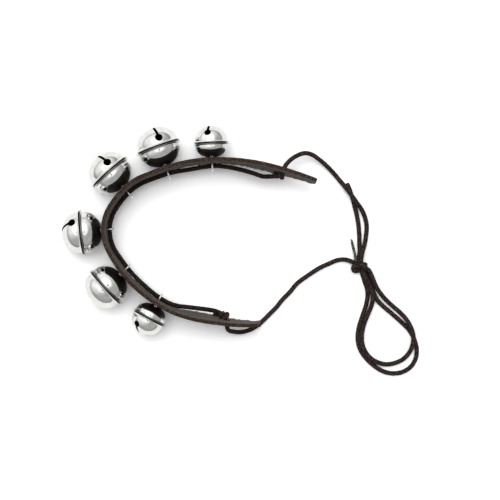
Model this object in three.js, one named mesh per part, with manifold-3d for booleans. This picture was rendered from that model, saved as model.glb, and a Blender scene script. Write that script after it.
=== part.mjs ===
// Bell strap: six jingle bells on a leather strap, held by one cord that is tied in a bow.
// Millimetres, +Z up. The strap stands on its edge, bent round, and the bow lies beside it.
import * as THREE from 'three';
import { mergeVertices } from 'three/addons/utils/BufferGeometryUtils.js';
import Module from 'manifold-3d';

const wasm = await Module();
wasm.setup();

// Leather strap
const STRAP_LENGTH = 271;
const STRAP_WIDTH = 28;
const STRAP_THICKNESS = 2.5;
const TAPER_LENGTH = 36;
const TIP_WIDTH = 10;
const TIP_THICKNESS = 2.3;
const UPPER_LEAN = { degrees: 7, from: 64, full: 0 };
const LOWER_LEAN = { degrees: 5.6, from: 64, full: 36 };
const UPPER_HOLE_INSET = 20.75;
const LOWER_HOLE_INSET = 20.15;
const BELL_PITCH = 28.2;

// Bells: two sizes of stamped sheet cups, crimped together at a flange
const LARGE_DOME_DIAMETER = 25;
const LARGE_FLANGE_DIAMETER = 27.8;
const LARGE_FRONT_DEPTH = 12.2;
const LARGE_BACK_DEPTH = 12.2;
const LARGE_SHOULDER = 2.5;
const LARGE_KEYHOLE_DIAMETER = 4.6;
const LARGE_KEYHOLE_RISE = 4.7;
const LARGE_PELLET_DIAMETER = 7;
const SMALL_DOME_DIAMETER = 19.6;
const SMALL_FLANGE_DIAMETER = 21.7;
const SMALL_FRONT_DEPTH = 10.8;
const SMALL_BACK_DEPTH = 8.6;
const SMALL_SHOULDER = 2;
const SMALL_KEYHOLE_DIAMETER = 4;
const SMALL_KEYHOLE_RISE = 6.4;
const SMALL_PELLET_DIAMETER = 5.6;
const SHEET_THICKNESS = 0.5;
const FLANGE_SHEET = 0.5;
const SEAM_GAP = 0.5;
const SLIT_WIDTH = 1.5;

// Wire loops that carry the bells
const WIRE_DIAMETER = 1;
const FOOT_REACH = 3.2;
const NECK_GAP = 0.3;

// Cord
const CORD_DIAMETER = 2.7;
const SHORT_TAIL_DIAMETER = 1.7;
const UPPER_KNOT = { length: 7.4, depth: 3.8, height: 5.6, shift: 2.4 };
const LOWER_KNOT = { length: 6.2, depth: 4.6, height: 5.6, shift: 2.8 };
const BOW_KNOT_RING = 3.1;
const BOW_KNOT_STRAND = 2.2;
const BOW_KNOT_SQUEEZE = 0.72;

// Clearances
const SEAT_GAP = 0.3;
const DOME_GAP = 0.4;
const FLOOR_GAP = 0.1;
const LACING_GAP = 0.4;
const LOOP_END_SLACK = 1.6;
const LOOP_SIDE_SLACK = 1.1;
const SHANK_SLACK = 0.3;
const SLOT_END_SLACK = 0.6;
const SLOT_SIDE_SLACK = 0.7;
const CORD_HOLE_SLACK = 0.5;

// Plan of the bend: stations along the strap from its middle, and the outward heading in degrees at each
const STRAP_MIDDLE = [-84.2, 25.6];
const BEND_STATIONS = [-136, -105, -70, -42, -28, -14, 0, 14, 28, 42, 70, 76, 84, 100, 118, 136];
const BEND_HEADINGS = [69, 77, 92, 109, 112, 135, 149, 180, 208, 217, 238.5, 240, 249, 260, 264, 275];
const PLAN_CENTRE = [-36.466, 11.8];

// Turn of each bell from square to the strap, and turn of its slit from upright, in degrees
const BELLS = [
  { size: 'small', yaw: 1, slit: -12 },
  { size: 'large', yaw: 1, slit: 12 },
  { size: 'large', yaw: -3, slit: 16 },
  { size: 'large', yaw: 6, slit: 32 },
  { size: 'large', yaw: 5, slit: 88 },
  { size: 'small', yaw: 3, slit: 35 },
];

// Lacing: how far it stands off at stations along the strap, from where it rests beside the strap
const LACING_STATIONS = [
  -112.3, -108.4, -103, -90, -80, -72, -56, -42, -28, 28, 36, 56, 72, 80, 90, 100, 106, 109, 112.5,
];
const LACING_BOWS = [
  0.4, 2, 3.3, 2, 0.9, 0.4, 1.2, 0.2, 0, 0, 0.5, 0.9, 0.25, 0.35, 1.8, 2.5, 2.75, 2.2, 0.8,
];

// Routes of the free cord, past the cord holes
const HOLE_EXIT = 2.2;
const UPPER_TIE = [
  [24.2, 54.2, 12.8], [27.7, 56.8, 11.2], [31.2, 58.4, 9.6], [34.1, 58.9, 8.2], [37.5, 58.2, 6.6],
  [41.9, 55.5, 4.6], [45.8, 52.4, 3.0], [50.5, 47.7, 1.9], [55.0, 42.4, 2.2], [58.6, 37.9, 3.6],
  [61.3, 34.3, 4.6], [64.7, 29.6, 4.0], [68.2, 24.8, 2.4], [70.4, 19.9, 1.5], [71.4, 14.7, 1.4],
  [71.0, 8.6, 1.6], [70.2, 4.0, 2.4], [69.0, 0.0, 3.6], [68.1, -3.9, 4.4], [67.6, -7.6, 4.7],
];
const LOWER_TIE = [
  [-12.6, -48.8, 12.0], [-10.0, -49.6, 9.4], [-6.3, -50.1, 6.2], [-2.6, -49.6, 3.6], [1.0, -48.3, 2.0],
  [4.3, -46.4, 1.4], [7.3, -43.8, 1.4], [11.8, -39.4, 1.4], [16.1, -35.0, 1.4], [20.0, -30.2, 1.4],
  [24.4, -25.7, 1.4], [28.6, -20.7, 1.4], [34.8, -16.0, 1.4], [43.1, -10.7, 1.4], [49.0, -8.0, 1.4],
  [53.2, -6.3, 1.4], [57.5, -5.8, 1.6], [60.4, -6.4, 2.0], [62.8, -7.4, 2.3],
];
const LONG_TAIL = [
  [66.4, -6.6, 1.5], [67.1, -1.2, 1.4], [67.0, 3.1, 1.4], [66.7, 12.2, 1.4], [65.6, 20.2, 1.4],
  [64.0, 26.9, 1.4], [62.6, 32.1, 1.4], [61.1, 36.7, 1.4], [59.5, 40.4, 1.4],
];
const SHORT_TAIL = [[64.8, -6.5, 3.9], [64.0, -2.1, 3.0], [63.2, 1.3, 2.2], [62.4, 5.2, 1.4]];
const OUTER_LOOP = [
  [68.6, -14.1, 1.4], [70.3, -19.6, 1.4], [71.6, -23.6, 1.4], [72.0, -27.4, 1.4], [71.1, -33.4, 1.4],
  [68.9, -40.1, 1.4], [67.0, -46.1, 1.4], [66.0, -51.5, 1.4], [66.2, -56.7, 1.4], [68.1, -62.1, 1.4],
  [71.7, -66.9, 1.4], [77.1, -71.7, 1.4], [82.6, -74.6, 1.4], [87.9, -75.5, 1.4], [93.3, -74.6, 1.4],
  [98.4, -71.4, 1.4], [101.5, -66.0, 1.4], [102.0, -60.8, 1.4], [100.7, -55.1, 1.4], [97.6, -49.2, 1.4],
  [92.4, -43.9, 1.4], [86.7, -38.8, 1.4], [81.3, -34.2, 1.4], [77.9, -30.6, 1.4], [75.7, -26.2, 1.4],
  [74.4, -21.8, 1.4], [71.8, -13.2, 1.4],
];
const INNER_LOOP = [
  [69.6, -14.0, 4.5], [72.2, -19.8, 4.6], [73.9, -23.8, 4.6], [74.9, -28.1, 4.4], [74.5, -33.0, 3.4],
  [72.5, -38.4, 2.4], [70.2, -43.9, 2.6], [68.6, -49.7, 3.6], [68.3, -55.5, 4.2], [69.8, -61.0, 4.4],
  [73.3, -65.7, 4.2], [77.9, -68.6, 2.6], [82.9, -69.9, 1.5], [88.1, -69.3, 1.4], [93.3, -67.0, 1.4],
  [97.2, -63.0, 2.0], [99.2, -58.3, 3.6], [99.8, -53.4, 4.6], [98.4, -47.6, 4.6], [95.4, -42.2, 3.4],
  [91.6, -38.0, 1.8], [86.6, -33.7, 1.6], [81.9, -29.1, 2.6], [78.2, -24.4, 4.0], [75.9, -19.8, 4.5],
  [72.3, -12.1, 4.5],
];
const BOW_KNOT_CENTRE = [67.2, -10.8];

// Fineness of the faceted surfaces
const BEND_STEP = 0.5;
const STRAP_STEP = 5;
const CORD_STEP = 7;
const CORD_SIDES = 8;
const WIRE_SIDES = 6;
const WIRE_STEPS = 22;
const DOME_SEGMENTS = 18;
const DOME_RINGS = 5;
const HOLE_SIDES = 12;
const KNOT_SEGMENTS = 12;

const { degToRad, lerp, clamp, smoothstep } = THREE.MathUtils;

// Heights that follow from the sizes
const MID_HEIGHT = Math.max(STRAP_WIDTH / 2, LARGE_FLANGE_DIAMETER / 2 + FLOOR_GAP);
const WIRE_RADIUS = WIRE_DIAMETER / 2;
const CORD_RADIUS = CORD_DIAMETER / 2;
const LACING_OFFSET = STRAP_THICKNESS / 2 + LACING_GAP + CORD_RADIUS;
const LOOP_HALF_WIDTH = CORD_RADIUS + LOOP_SIDE_SLACK + WIRE_RADIUS;
const NECK_HALF_WIDTH = WIRE_RADIUS + NECK_GAP / 2;

const BELL_SIZES = {
  large: {
    radius: LARGE_DOME_DIAMETER / 2,
    flange: LARGE_FLANGE_DIAMETER / 2,
    front: LARGE_FRONT_DEPTH,
    back: LARGE_BACK_DEPTH,
    shoulder: LARGE_SHOULDER,
    keyhole: LARGE_KEYHOLE_DIAMETER / 2,
    rise: LARGE_KEYHOLE_RISE,
    pellet: LARGE_PELLET_DIAMETER / 2,
  },
  small: {
    radius: SMALL_DOME_DIAMETER / 2,
    flange: SMALL_FLANGE_DIAMETER / 2,
    front: SMALL_FRONT_DEPTH,
    back: SMALL_BACK_DEPTH,
    shoulder: SMALL_SHOULDER,
    keyhole: SMALL_KEYHOLE_DIAMETER / 2,
    rise: SMALL_KEYHOLE_RISE,
    pellet: SMALL_PELLET_DIAMETER / 2,
  },
};

const leather = () => new THREE.MeshStandardMaterial({ color: 0x3d302a, roughness: 0.75, metalness: 0 });
const chrome = () => new THREE.MeshStandardMaterial({ color: 0xd8d8d6, roughness: 0.12, metalness: 1 });
const steel = () => new THREE.MeshStandardMaterial({ color: 0xb4b4b0, roughness: 0.3, metalness: 1 });
const waxedCord = () => new THREE.MeshStandardMaterial({ color: 0x2e2522, roughness: 0.8, metalness: 0 });

// Closed solids for cutting, and back to geometry
function toSolid(geometry) {
  const bare = geometry.clone();
  bare.deleteAttribute('normal');
  bare.deleteAttribute('uv');
  const merged = mergeVertices(bare, 1e-4);
  const index = merged.index.array;
  const triangles = [];
  for (let i = 0; i < index.length; i += 3) {
    const [a, b, c] = index.subarray(i, i + 3);
    if (a !== b && b !== c && c !== a) triangles.push(a, b, c);
  }
  return new wasm.Manifold(new wasm.Mesh({
    numProp: 3,
    vertProperties: Float32Array.from(merged.attributes.position.array),
    triVerts: Uint32Array.from(triangles),
  }));
}

function toGeometry(solid) {
  const mesh = solid.getMesh();
  const geometry = new THREE.BufferGeometry();
  geometry.setAttribute('position', new THREE.BufferAttribute(mesh.vertProperties, 3));
  geometry.setIndex(new THREE.BufferAttribute(mesh.triVerts, 1));
  geometry.computeVertexNormals();
  return geometry;
}

function cut(geometry, cutters) {
  let solid = toSolid(geometry);
  for (const cutter of cutters) solid = solid.subtract(toSolid(cutter));
  return toGeometry(solid);
}

function named(name, geometry, material) {
  const mesh = new THREE.Mesh(geometry, material);
  mesh.name = name;
  return mesh;
}

// Value at a station, from values that are given at some stations
function valueAt(station, stations, values) {
  let i = 1;
  while (i < stations.length - 1 && station > stations[i]) i += 1;
  const t = (station - stations[i - 1]) / (stations[i] - stations[i - 1]);
  return lerp(values[i - 1], values[i], clamp(t, 0, 1));
}

// The strap's bend, and its local directions at a station
function headingAt(station) {
  return degToRad(valueAt(station, BEND_STATIONS, BEND_HEADINGS));
}

function planPoint(station) {
  const steps = Math.ceil(Math.abs(station) / BEND_STEP);
  const point = new THREE.Vector3(STRAP_MIDDLE[0], STRAP_MIDDLE[1], MID_HEIGHT);
  for (let i = 0; i < steps; i += 1) {
    const step = station / steps;
    const heading = headingAt((i + 0.5) * step);
    point.x -= Math.sin(heading) * step;
    point.y += Math.cos(heading) * step;
  }
  return point;
}

// The strap leans out towards its ends, where its top edge keeps its place in the plan
function strapFrame(station) {
  const toTip = STRAP_LENGTH / 2 - Math.abs(station);
  const taper = clamp(toTip / TAPER_LENGTH, 0, 1);
  const halfWidth = lerp(TIP_WIDTH, STRAP_WIDTH, taper) / 2;
  const halfThickness = lerp(TIP_THICKNESS, STRAP_THICKNESS, taper) / 2;
  const end = station < 0 ? UPPER_LEAN : LOWER_LEAN;
  const lean = degToRad(end.degrees * smoothstep(end.from - toTip, 0, end.from - end.full));
  const heading = headingAt(station);
  const level = new THREE.Vector3(Math.cos(heading), Math.sin(heading), 0);
  const upright = new THREE.Vector3(0, 0, 1);
  const centre = planPoint(station).addScaledVector(level, -halfWidth * Math.sin(lean));
  centre.z = Math.max(MID_HEIGHT, halfWidth * Math.cos(lean) + halfThickness * Math.sin(lean));
  return {
    centre,
    out: level.clone().multiplyScalar(Math.cos(lean)).addScaledVector(upright, -Math.sin(lean)),
    up: level.clone().multiplyScalar(Math.sin(lean)).addScaledVector(upright, Math.cos(lean)),
    halfWidth,
    halfThickness,
  };
}

function offsetFrom(frame, out, up = 0) {
  return frame.centre.clone().addScaledVector(frame.out, out).addScaledVector(frame.up, up);
}

const BELL_STATIONS = BELLS.map((_, i) => (i - (BELLS.length - 1) / 2) * BELL_PITCH);
const UPPER_HOLE_STATION = UPPER_HOLE_INSET - STRAP_LENGTH / 2;
const LOWER_HOLE_STATION = STRAP_LENGTH / 2 - LOWER_HOLE_INSET;
const UPPER_KNOT_STATION = UPPER_HOLE_STATION + UPPER_KNOT.shift;
const LOWER_KNOT_STATION = LOWER_HOLE_STATION - LOWER_KNOT.shift;

// Local frame of a bell: +Y along its axis away from the strap, +Z up, origin inside the strap
function bellMatrix(station, yaw) {
  const frame = strapFrame(station);
  const axis = frame.out.clone().applyAxisAngle(frame.up, degToRad(yaw));
  const side = new THREE.Vector3().crossVectors(axis, frame.up);
  return new THREE.Matrix4().makeBasis(side, axis, frame.up).setPosition(frame.centre);
}

// Strap: a tapered band lofted along the bend, with an upright slot for each wire loop and two cord holes
function strapGeometry() {
  const sections = Math.round(STRAP_LENGTH / STRAP_STEP);
  const positions = [];
  const index = [];
  for (let i = 0; i <= sections; i += 1) {
    const frame = strapFrame((i / sections - 0.5) * STRAP_LENGTH);
    const corners = [[1, -1], [1, 1], [-1, 1], [-1, -1]];
    for (const [out, up] of corners) {
      positions.push(...offsetFrom(frame, out * frame.halfThickness, up * frame.halfWidth).toArray());
    }
  }
  for (let i = 0; i < sections; i += 1) {
    for (let j = 0; j < 4; j += 1) {
      const a = i * 4 + j;
      const b = i * 4 + ((j + 1) % 4);
      index.push(a, a + 4, b, b, a + 4, b + 4);
    }
  }
  const last = sections * 4;
  index.push(0, 1, 2, 0, 2, 3, last, last + 2, last + 1, last, last + 3, last + 2);
  const band = new THREE.BufferGeometry();
  band.setAttribute('position', new THREE.Float32BufferAttribute(positions, 3));
  band.setIndex(index);

  const punchLength = STRAP_THICKNESS * 3;
  const slotHalfHeight = LOOP_HALF_WIDTH + WIRE_RADIUS + SLOT_END_SLACK;
  const slotHalfWidth = WIRE_RADIUS + SLOT_SIDE_SLACK;
  const cordPunch = CORD_RADIUS + CORD_HOLE_SLACK;
  const punch = (halfWidth, halfHeight, station, yaw) =>
    new THREE.CylinderGeometry(1, 1, punchLength, HOLE_SIDES)
      .scale(halfWidth, 1, halfHeight)
      .applyMatrix4(bellMatrix(station, yaw));
  return cut(band, [
    ...BELLS.map((bell, i) => punch(slotHalfWidth, slotHalfHeight, BELL_STATIONS[i], bell.yaw)),
    punch(cordPunch, cordPunch, UPPER_HOLE_STATION, 0),
    punch(cordPunch, cordPunch, LOWER_HOLE_STATION, 0),
  ]);
}

// Cup profile from the flange plane to the pole, an ellipse whose widest ring is the shoulder
function domeRing(size, depth, inset, angle) {
  const rise = depth - size.shoulder - inset;
  return new THREE.Vector2((size.radius - inset) * Math.cos(angle), size.shoulder + rise * Math.sin(angle));
}

function domeArc(size, depth, inset, fromHeight, poleRadius) {
  const rise = depth - size.shoulder - inset;
  const from = Math.asin((fromHeight - size.shoulder) / rise);
  const to = Math.acos(poleRadius / (size.radius - inset));
  const rings = [...Array(DOME_RINGS + 1).keys()];
  return rings.map((i) => domeRing(size, depth, inset, lerp(from, to, i / DOME_RINGS)));
}

function cupProfile(size, depth, poleRadius) {
  const seam = SEAM_GAP / 2;
  const flangeTop = seam + FLANGE_SHEET;
  return [
    ...domeArc(size, depth, SHEET_THICKNESS, seam, poleRadius).reverse(),
    new THREE.Vector2(size.flange, seam),
    new THREE.Vector2(size.flange, flangeTop),
    ...domeArc(size, depth, 0, flangeTop, poleRadius),
  ];
}

function frontShellGeometry(size, slit) {
  const cup = new THREE.LatheGeometry(cupProfile(size, size.front, 0), DOME_SEGMENTS);
  const lift = Math.asin((size.rise - size.shoulder) / (size.front - size.shoulder));
  const keyhole = domeRing(size, size.front, 0, lift);
  const drill = new THREE.CylinderGeometry(size.keyhole, size.keyhole, size.radius, HOLE_SIDES);
  drill.applyMatrix4(new THREE.Matrix4().makeRotationX(Math.atan2(keyhole.x, keyhole.y)));
  const slot = new THREE.BoxGeometry(SLIT_WIDTH, size.front, keyhole.x * 2);
  slot.translate(0, size.rise + size.front / 2, 0);
  const turned = [
    drill.clone().translate(0, keyhole.y, keyhole.x),
    drill.clone().rotateY(Math.PI).translate(0, keyhole.y, -keyhole.x),
    slot,
  ];
  return cut(cup, turned.map((cutter) => cutter.rotateY(degToRad(slit))));
}

function backShellGeometry(size) {
  const shankHole = NECK_HALF_WIDTH + WIRE_RADIUS + SHANK_SLACK;
  const profile = cupProfile(size, size.back, shankHole).reverse();
  const mirrored = profile.map((point) => new THREE.Vector2(point.x, -point.y));
  return new THREE.LatheGeometry([...mirrored, mirrored[0].clone()], DOME_SEGMENTS);
}

// A round bar or cord along a smooth route
function tubeGeometry(points, diameter, sides, steps) {
  const outline = [...Array(sides).keys()].map((i) => {
    const angle = ((i + 0.5) / sides) * Math.PI * 2;
    return new THREE.Vector2(Math.cos(angle), Math.sin(angle)).multiplyScalar(diameter / 2);
  });
  const route = new THREE.CatmullRomCurve3(points, false, 'centripetal');
  return new THREE.ExtrudeGeometry(new THREE.Shape(outline), { steps, extrudePath: route, bevelEnabled: false });
}

// Wire loop: feet splayed inside the cup, legs side by side in the neck, loop round the cord
function wireLoopGeometry(size) {
  const pole = STRAP_THICKNESS / 2 + DOME_GAP;
  const wall = domeArc(size, size.back, SHEET_THICKNESS, 0, FOOT_REACH).at(-1).y;
  const foot = pole + size.back - wall + SEAT_GAP + WIRE_RADIUS;
  const tip = -LACING_OFFSET - CORD_RADIUS - LOOP_END_SLACK - WIRE_RADIUS;
  const round = tip + LOOP_HALF_WIDTH;
  const diagonal = LOOP_HALF_WIDTH * Math.SQRT1_2;
  const half = [
    [foot, FOOT_REACH],
    [foot, NECK_HALF_WIDTH + WIRE_RADIUS * 1.5],
    [pole + SHEET_THICKNESS, NECK_HALF_WIDTH],
    [pole - SHEET_THICKNESS, NECK_HALF_WIDTH],
    [0, (NECK_HALF_WIDTH + LOOP_HALF_WIDTH) / 2],
    [round, LOOP_HALF_WIDTH],
    [round - diagonal, diagonal],
  ];
  const other = half.map(([y, z]) => [y, -z]).reverse();
  const points = [...half, [tip, 0], ...other].map(([y, z]) => new THREE.Vector3(0, y, z));
  return tubeGeometry(points, WIRE_DIAMETER, WIRE_SIDES, WIRE_STEPS);
}

function bellGroup(bell, i) {
  const size = BELL_SIZES[bell.size];
  const name = `bell_${i + 1}`;
  const flangeHeight = STRAP_THICKNESS / 2 + DOME_GAP + size.back;
  const cavity = domeArc(size, size.back, SHEET_THICKNESS, 0, 0)[0].x;
  const shells = new THREE.Group();
  shells.position.y = flangeHeight;
  const pellet = named(`${name}_pellet`, new THREE.SphereGeometry(size.pellet, 10, 6), steel());
  pellet.position.z = -(cavity - size.pellet - SEAT_GAP);
  shells.add(
    named(`${name}_front_shell`, frontShellGeometry(size, bell.slit), chrome()),
    named(`${name}_back_shell`, backShellGeometry(size), chrome()),
    pellet,
  );
  const group = new THREE.Group();
  group.add(shells, named(`${name}_wire_loop`, wireLoopGeometry(size), steel()));
  group.applyMatrix4(bellMatrix(BELL_STATIONS[i], bell.yaw));
  return group;
}

// Cord
function vectors(points) {
  return points.map((point) => new THREE.Vector3(...point));
}

function cordMesh(name, points, diameter = CORD_DIAMETER) {
  const length = new THREE.CatmullRomCurve3(points, false, 'centripetal').getLength();
  const steps = Math.ceil(length / CORD_STEP);
  return named(name, tubeGeometry(points, diameter, CORD_SIDES, steps), waxedCord());
}

// A stopper knot covers its cord hole from inside, shifted from it towards the strap's middle
function stopperKnot(name, knot, station) {
  const geometry = new THREE.SphereGeometry(0.5, KNOT_SEGMENTS, KNOT_SEGMENTS / 2);
  geometry.scale(knot.length, knot.depth, knot.height);
  geometry.translate(0, -strapFrame(station).halfThickness - SEAT_GAP - knot.depth / 2, 0);
  return named(name, geometry.applyMatrix4(bellMatrix(station, 0)), waxedCord());
}

// Lacing between the stopper knots: beside the strap in the middle, bowed away from it near its ends
function lacingPoint(station) {
  const bow = valueAt(station, LACING_STATIONS, LACING_BOWS);
  return offsetFrom(strapFrame(station), -LACING_OFFSET - bow);
}

function lacingCord() {
  const from = UPPER_KNOT_STATION + UPPER_KNOT.length / 2 + SEAT_GAP;
  const to = LOWER_KNOT_STATION - LOWER_KNOT.length / 2 - SEAT_GAP;
  const count = Math.round((to - from) / CORD_STEP);
  const stations = [...Array(count + 1).keys()].map((i) => lerp(from, to, i / count));
  return cordMesh('lacing_cord', stations.map(lacingPoint));
}

function tieCord(name, station, route) {
  const frame = strapFrame(station);
  const hole = [-frame.halfThickness, frame.halfThickness + HOLE_EXIT].map((out) => offsetFrom(frame, out));
  return cordMesh(name, [...hole, ...vectors(route)]);
}

function bowKnot() {
  const geometry = new THREE.TorusKnotGeometry(BOW_KNOT_RING, BOW_KNOT_STRAND / 2, 40, 6, 2, 3);
  geometry.scale(1, BOW_KNOT_SQUEEZE, 1);
  const height = (BOW_KNOT_RING + BOW_KNOT_STRAND) / 2 + FLOOR_GAP;
  geometry.translate(BOW_KNOT_CENTRE[0], BOW_KNOT_CENTRE[1], height);
  return named('bow_knot', geometry, waxedCord());
}

// Least gap that a loop of cord keeps to itself, on points along it
function leastSelfGap(points) {
  const curve = new THREE.CatmullRomCurve3(vectors(points), false, 'centripetal');
  const count = Math.round(curve.getLength());
  const along = curve.getSpacedPoints(count);
  const apart = Math.ceil(CORD_DIAMETER * 3);
  let least = Infinity;
  for (let i = 0; i <= count; i += 1) {
    for (let j = i + apart; j <= count; j += 1) least = Math.min(least, along[i].distanceTo(along[j]));
  }
  return least - CORD_DIAMETER;
}

console.log(`outer bow loop, least gap to itself: ${leastSelfGap(OUTER_LOOP).toFixed(2)} mm`);
console.log(`inner bow loop, least gap to itself: ${leastSelfGap(INNER_LOOP).toFixed(2)} mm`);

const bellStrap = new THREE.Group();
bellStrap.position.set(-PLAN_CENTRE[0], -PLAN_CENTRE[1], 0);
bellStrap.add(
  named('strap', strapGeometry(), leather()),
  ...BELLS.map(bellGroup),
  lacingCord(),
  stopperKnot('upper_stopper_knot', UPPER_KNOT, UPPER_KNOT_STATION),
  stopperKnot('lower_stopper_knot', LOWER_KNOT, LOWER_KNOT_STATION),
  tieCord('upper_tie_cord', UPPER_HOLE_STATION, UPPER_TIE),
  tieCord('lower_tie_cord', LOWER_HOLE_STATION, LOWER_TIE),
  bowKnot(),
  cordMesh('bow_loop_outer', vectors(OUTER_LOOP)),
  cordMesh('bow_loop_inner', vectors(INNER_LOOP)),
  cordMesh('bow_tail_long', vectors(LONG_TAIL)),
  cordMesh('bow_tail_short', vectors(SHORT_TAIL), SHORT_TAIL_DIAMETER),
);

export default bellStrap;
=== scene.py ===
"""Looks of the bell strap: a braided cord, a leather strap and six polished bells on a white table.

Metres, +Z up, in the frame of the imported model. Plan places are measured from the point under the camera.
"""

import math

import bpy
import numpy as np
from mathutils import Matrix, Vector
from mathutils.geometry import delaunay_2d_cdt


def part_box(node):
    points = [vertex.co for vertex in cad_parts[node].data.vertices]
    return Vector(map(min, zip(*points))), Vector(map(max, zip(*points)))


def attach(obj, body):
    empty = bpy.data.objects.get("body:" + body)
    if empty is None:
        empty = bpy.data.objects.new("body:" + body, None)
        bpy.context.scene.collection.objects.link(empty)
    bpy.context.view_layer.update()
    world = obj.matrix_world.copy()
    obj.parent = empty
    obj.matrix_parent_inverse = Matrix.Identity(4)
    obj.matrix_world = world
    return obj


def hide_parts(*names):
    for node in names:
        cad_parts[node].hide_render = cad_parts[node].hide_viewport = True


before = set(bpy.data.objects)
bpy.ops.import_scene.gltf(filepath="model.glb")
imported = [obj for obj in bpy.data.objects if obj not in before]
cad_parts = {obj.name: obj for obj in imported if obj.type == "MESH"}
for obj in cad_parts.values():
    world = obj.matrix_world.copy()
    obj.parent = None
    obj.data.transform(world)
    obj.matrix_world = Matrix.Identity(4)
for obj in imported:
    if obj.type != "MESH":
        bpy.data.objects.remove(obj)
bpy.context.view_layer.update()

# Camera, straight above the table
UNDER_CAMERA = np.array((0.036466, -0.0118, 0.0))
CAMERA_HEIGHT = 1.1
VIEW_WIDTH = 0.3064
SENSOR_WIDTH_MM = 36.0

# Leather strap
STRAP_LENGTH = 0.271
STRAP_WIDTH = 0.028
STRAP_THICKNESS = 0.0025
TAPER_LENGTH = 0.036
TIP_WIDTH = 0.010
TIP_THICKNESS = 0.0023
UPPER_LEAN = {"degrees": 7, "from": 0.064, "full": 0.0}
LOWER_LEAN = {"degrees": 5.6, "from": 0.064, "full": 0.036}
UPPER_HOLE_STATION = -0.11475
LOWER_HOLE_STATION = 0.11535
BELL_PITCH = 0.0282
BELL_STATIONS = np.arange(-2.5, 3) * BELL_PITCH
MID_HEIGHT = 0.014
STRAP_MIDDLE = (-0.0842, 0.0256)
BEND_STATIONS = np.array((-136, -105, -70, -42, -28, -14, 0, 14, 28, 42, 70, 76, 84, 100, 118, 136)) * 0.001
BEND_HEADINGS = np.array((69, 77, 92, 109, 112, 135, 149, 180, 208, 217, 238.5, 240, 249, 260, 264, 275))
BEND_SAMPLES = 2145
STRAP_STEP = 0.0007
FACE_POINTS = 15
CORNER_POINTS = 5
EDGE_RADIUS = 0.0007
EDGE_SHARE = 0.98  # of the room that a corner's radius may fill
SHARP_DEGREES = 50
DEPTH_SAMPLES = 1073
FRINGE = 0.0008
FRINGE_STEP = 0.0016
FRINGE_LEAST = 0.5  # shortest tuft, as a share
FRINGE_SEED = 3
SLOT_HALF_HEIGHT = 0.00405
SLOT_HALF_WIDTH = 0.0012
CORD_HOLE_RADIUS = 0.00185
HOLE_SIDES = 40
PUNCH_REACH = STRAP_THICKNESS * 1.5

# Bells
LARGE = {
    "radius": 0.0125, "flange": 0.0139, "front": 0.0122, "back": 0.0122, "shoulder": 0.0025,
    "keyhole": 0.0023, "rise": 0.0047, "pellet": 0.0035,
}
SMALL = {
    "radius": 0.0098, "flange": 0.01085, "front": 0.0108, "back": 0.0086, "shoulder": 0.002,
    "keyhole": 0.002, "rise": 0.0064, "pellet": 0.0028,
}
BELLS = (
    {"size": SMALL, "yaw": 1, "slit": -12},
    {"size": LARGE, "yaw": 1, "slit": 12},
    {"size": LARGE, "yaw": -3, "slit": 16},
    {"size": LARGE, "yaw": 6, "slit": 32},
    {"size": LARGE, "yaw": 5, "slit": 88},
    {"size": SMALL, "yaw": 3, "slit": 35},
)
SHEET = 0.0005
SLIT_HALF_WIDTH = 0.00075
DOME_GAP = 0.0004
BELL_SEGMENTS = 112
KEYHOLE_POINTS = 40
SLIT_POINTS = 34
OPENING_MARGIN = 0.0006  # free of other points round the opening
CUP_RINGS = 35
LEAST_RING = 12
BACK_ROWS = 36
FOOT_ROWS = 7
SWEEP_ROWS = 10
RIM_ROWS = 8
# The back flange's rim gets this share of the near-black colour painted on as shade inside the cups.
RIM_SHADE_SHARE = 0.6  # of the back flange's rim, where 1 is the dark inside
LIP = 0.00014
RIM_THICKNESS = 0.0004
RIM_TOP = 0.00082
SEAM_HALF_GAP = 0.00012
SWEEP_START = 0.8  # of the shoulder's height
BACK_FLANGE_INSET = 0.0002
SEAT_GAP = 0.0003
WIRE_DIAMETER = 0.001
FOOT_REACH = 0.0032
NECK_HALF_WIDTH = 0.00065
SHANK_HOLE = 0.00145
SHANK_HOLE_LIP = 0.00012
LOOP_HALF_WIDTH = 0.00295
LOOP_TIP = 0.00645
WIRE_STEP = 0.0004
WIRE_SIDES = 14
PELLET_ROWS = 24
PELLET_SIDES = 40
PELLET_FLATS = 14
FLAT_HEIGHT = 0.955  # of the pellet's radius
PELLET_SHARE = 0.985  # of the CAD pellet's size

# Cord
CORD_DIAMETER = 0.0027
SHORT_TAIL_DIAMETER = 0.0017
UPPER_KNOT = {"length": 0.0074, "depth": 0.0038, "height": 0.0056, "station": UPPER_HOLE_STATION + 0.0024}
LOWER_KNOT = {"length": 0.0062, "depth": 0.0046, "height": 0.0056, "station": LOWER_HOLE_STATION - 0.0028}
LACING_OFFSET = 0.0030
HOLE_EXIT = 0.0022
CORD_SIDES = 40
CORD_STEP = 0.00024
CURVE_STEPS = 40
END_ANGLES = np.radians((75, 50, 25))  # rows of a rounded end, from its tip
END_REACH = 0.45  # of a tube's radius
BRAID_BULGE = 1.04
BRAID_STRANDS = 6
BRAID_LEAD = 0.0096
BRAID_DEPTH = 0.13
BOW_STRAND = 0.0030
STOPPER_STRAND = 0.0023
STOPPER_POINTS = 17
STOPPER_OPENING = 0.35  # angle left out at each end of the knot's closed curve
STUB_DIAMETER = 0.0020
LACING_POINTS = 46
PLY_LEAD = 0.0034
PLY_DEPTH = 0.3
FRAY_FIBRES = 7
FRAY_LENGTH = 0.0022
FRAY_OVERLAP = 0.4  # of that length, inside the cord
FRAY_SPREAD = 0.16
FRAY_SEED = 5
FIBRE_POINTS = 7
FIBRE_RADIUS = 0.00016
FIBRE_SIDES = 6

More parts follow.
